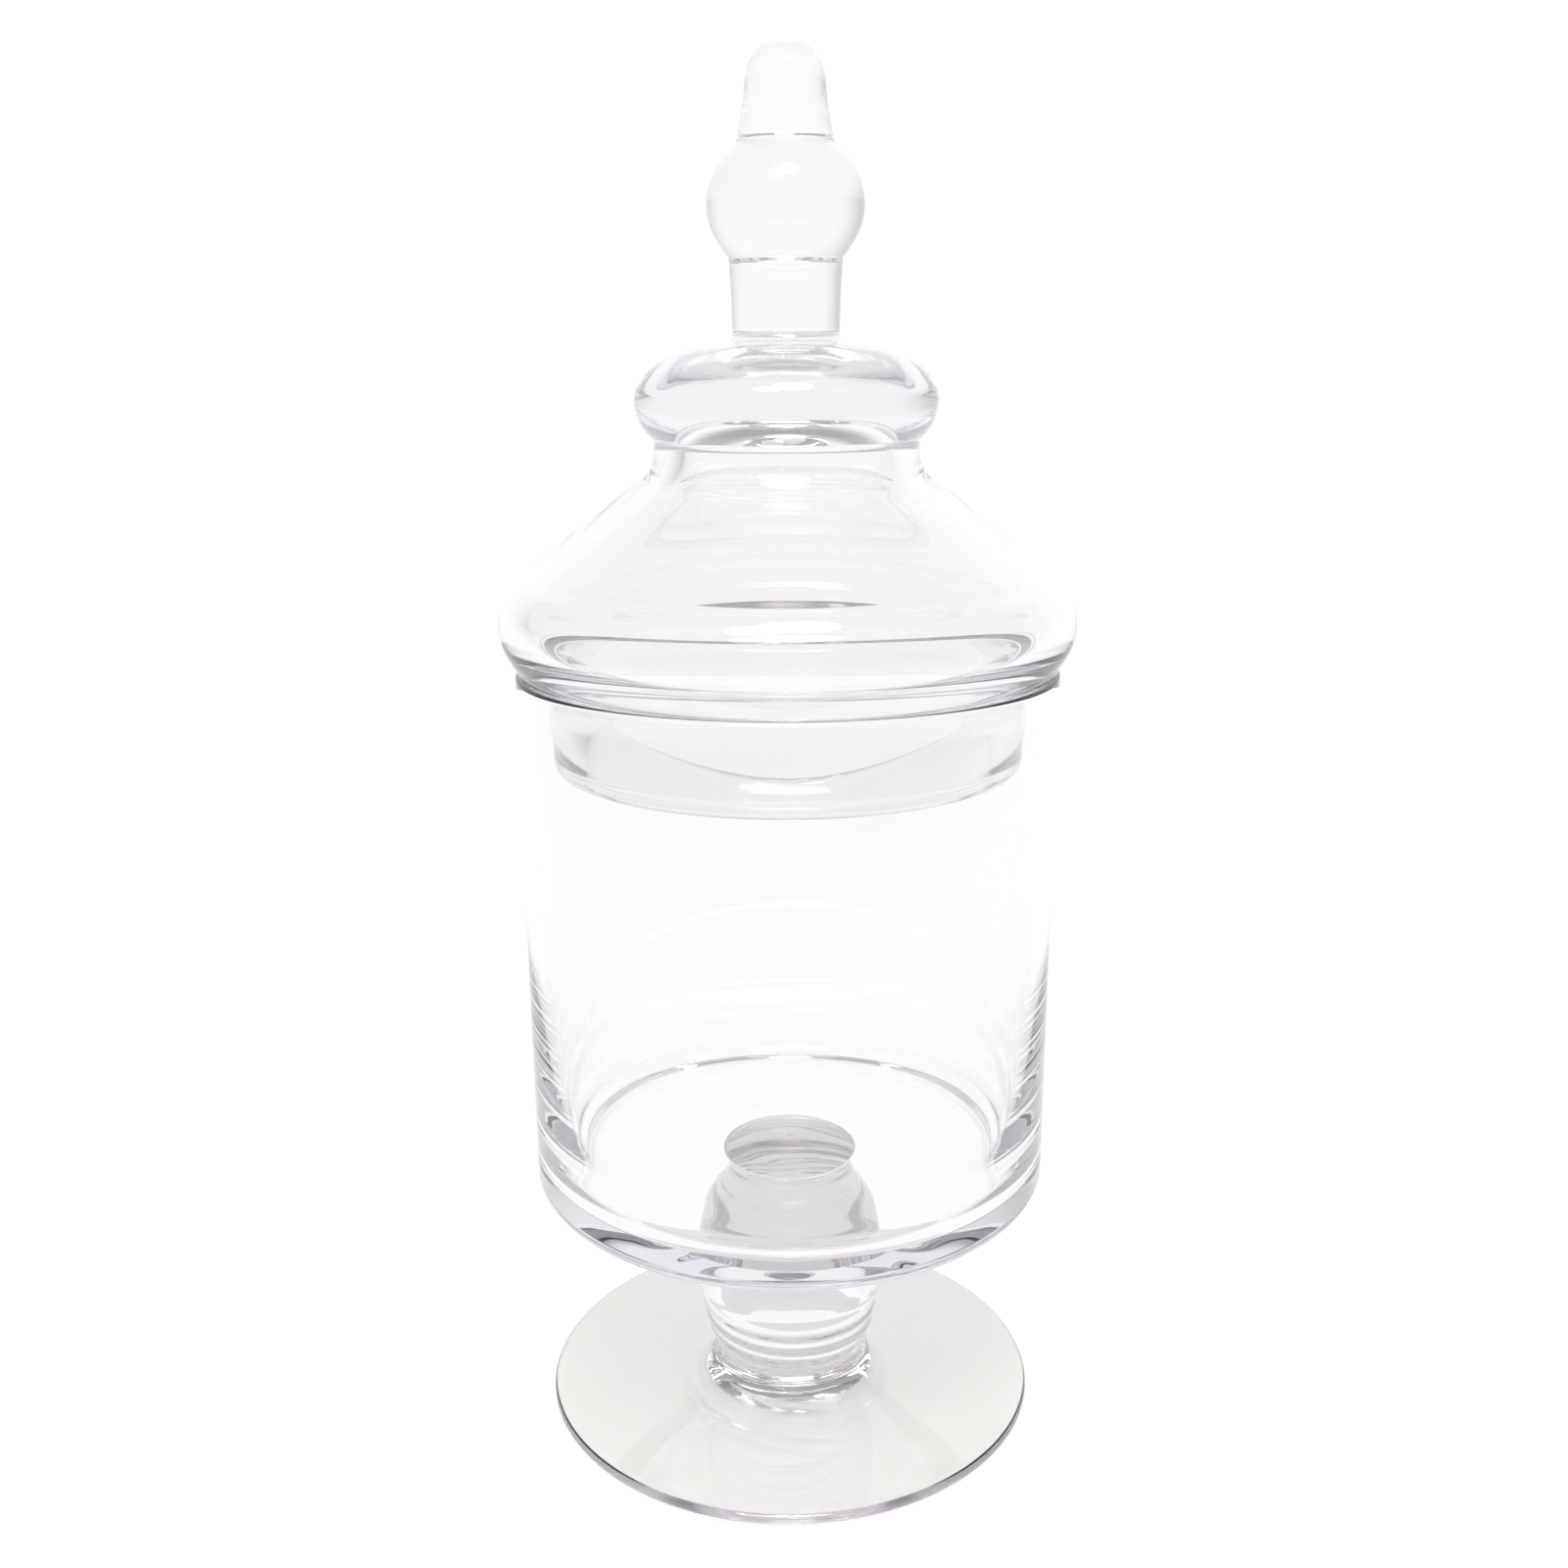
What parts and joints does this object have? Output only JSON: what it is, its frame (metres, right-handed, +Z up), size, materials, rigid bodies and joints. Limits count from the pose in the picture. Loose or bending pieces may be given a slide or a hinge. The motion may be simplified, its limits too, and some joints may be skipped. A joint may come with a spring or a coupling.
{
  "type": "apothecary jar",
  "caption": "Footed clear glass apothecary jar: straight-sided bowl on a knop stem and disc foot, with a domed plug-in lid topped by a cushion and a solid finial.",
  "frame": {"origin": "middle of the foot's underside, in the plane that the jar stands on", "axes": "+Z up along the jar's axis of revolution, out through the finial; X and Y are any two level directions, as the jar is a solid of revolution"},
  "size_m": [0.1116, 0.1116, 0.2713],
  "materials": {
    "foot_glass": "clear, fire polished",
    "stem_glass": "clear, fire polished",
    "bowl_glass": "clear, fire polished",
    "lid_dome_glass": "clear, fire polished",
    "finial_shank_glass": "clear, fire polished",
    "finial_ball_glass": "clear, fire polished",
    "finial_tip_glass": "clear, fire polished"
  },
  "bodies": {
    "jar": {"bowl": "bowl_glass", "stem": "stem_glass", "foot": "foot_glass"},
    "lid": {"lid_dome": "lid_dome_glass", "finial_shank": "finial_shank_glass", "finial_ball": "finial_ball_glass", "finial_tip": "finial_tip_glass"}
  },
  "joints": [
    {"name": "lid_lift", "type": "slide", "parent": "jar", "child": "lid", "axis": [0, 0, 1], "range_m": [0, 0.12]}
  ]
}
